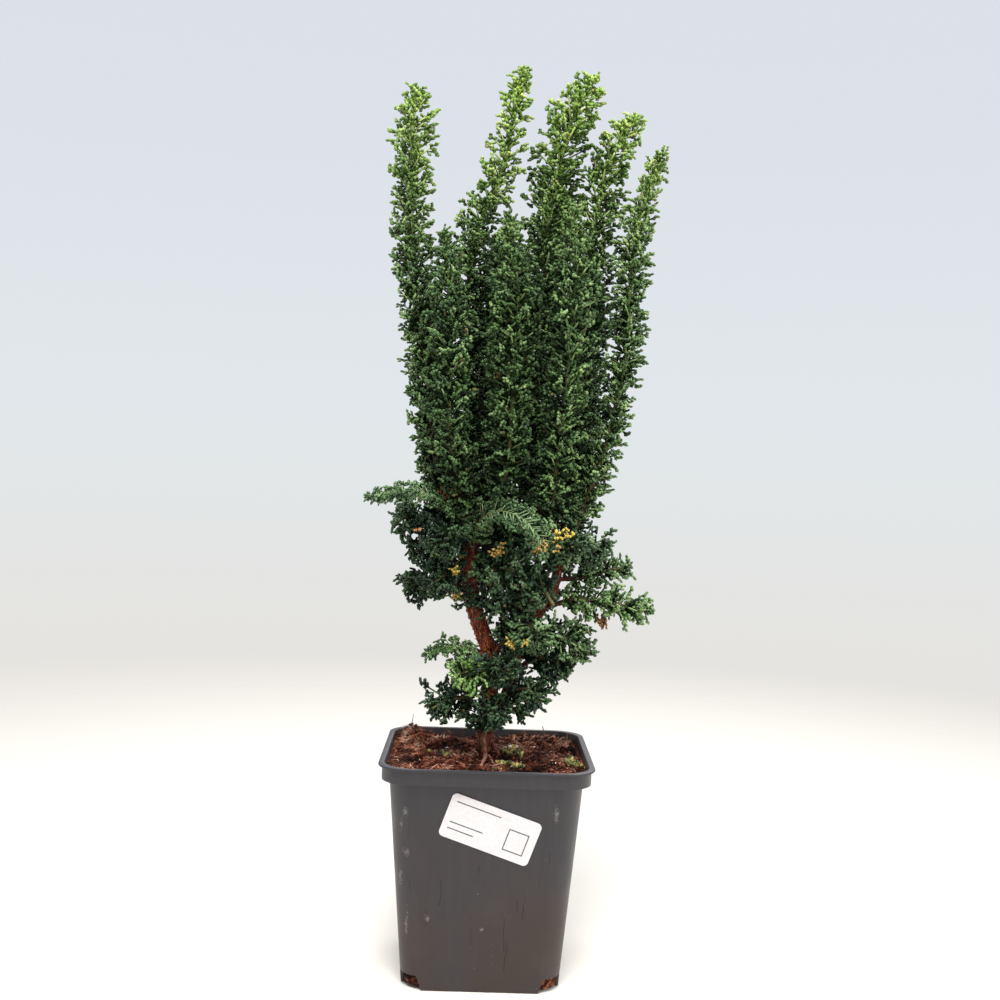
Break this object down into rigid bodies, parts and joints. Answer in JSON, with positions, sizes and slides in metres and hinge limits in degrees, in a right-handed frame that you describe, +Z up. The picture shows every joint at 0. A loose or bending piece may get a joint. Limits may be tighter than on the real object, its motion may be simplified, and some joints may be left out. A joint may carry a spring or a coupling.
{
  "type": "hinoki cypress bonsai",
  "caption": "Small upright hinoki cypress with dense plumes of scale leaves on a forked trunk, growing in a square tapered plastic pot filled with peat.",
  "frame": {"origin": "centre of the pot's underside", "axes": "+Z up along the pot's middle; -Y is the tree's front, with the pot's sticker; +X is to the right seen from the front"},
  "size_m": [0.1582, 0.114, 0.4941],
  "materials": {
    "dark_grey_plastic": "moulded, faintly glossy",
    "peat": "loose fibrous peat, matte",
    "white_paper": "coated sticker, satin",
    "red_brown_bark": "flaky, matte",
    "fresh_green_foliage": "fresh scale leaves, satin",
    "deep_green_foliage": "older scale leaves, satin"
  },
  "bodies": {
    "root": {"label": "white_paper", "leader_back_far_left": "fresh_green_foliage", "leader_back_far_right": "fresh_green_foliage", "leader_back_middle": "fresh_green_foliage", "leader_back_right": "fresh_green_foliage", "leader_far_right": "fresh_green_foliage", "leader_front_left": "fresh_green_foliage", "leader_front_middle": "fresh_green_foliage", "leader_front_right": "fresh_green_foliage", "leader_highest": "fresh_green_foliage", "leader_inner": "fresh_green_foliage", "leader_left": "fresh_green_foliage", "leader_middle_left": "fresh_green_foliage", "leader_right": "fresh_green_foliage", "pot": "dark_grey_plastic", "soil": "peat", "spray_back_left": "deep_green_foliage", "spray_back_low": "deep_green_foliage", "spray_back_lowest": "deep_green_foliage", "spray_back_middle": "deep_green_foliage", "spray_back_right": "deep_green_foliage", "spray_back_second": "deep_green_foliage", "spray_back_upper": "deep_green_foliage", "spray_front_arch": "deep_green_foliage", "spray_front_base": "deep_green_foliage", "spray_front_left": "deep_green_foliage", "spray_front_low": "deep_green_foliage", "spray_front_middle": "deep_green_foliage", "spray_front_right": "deep_green_foliage", "spray_front_second": "deep_green_foliage", "spray_front_trunk": "deep_green_foliage", "spray_left_bright": "deep_green_foliage", "spray_left_dark": "deep_green_foliage", "spray_left_inner": "deep_green_foliage", "spray_left_long": "deep_green_foliage", "spray_left_lowest": "deep_green_foliage", "spray_left_middle": "deep_green_foliage", "spray_left_small": "deep_green_foliage", "spray_left_upper": "deep_green_foliage", "spray_middle": "deep_green_foliage", "spray_right_broad": "deep_green_foliage", "spray_right_dark": "deep_green_foliage", "spray_right_hanging": "deep_green_foliage", "spray_right_inner": "deep_green_foliage", "spray_right_long": "deep_green_foliage", "spray_right_low": "deep_green_foliage", "spray_right_lowest": "deep_green_foliage", "spray_right_top": "deep_green_foliage", "spray_right_upper": "deep_green_foliage", "trunk": "red_brown_bark"}
  },
  "joints": []
}
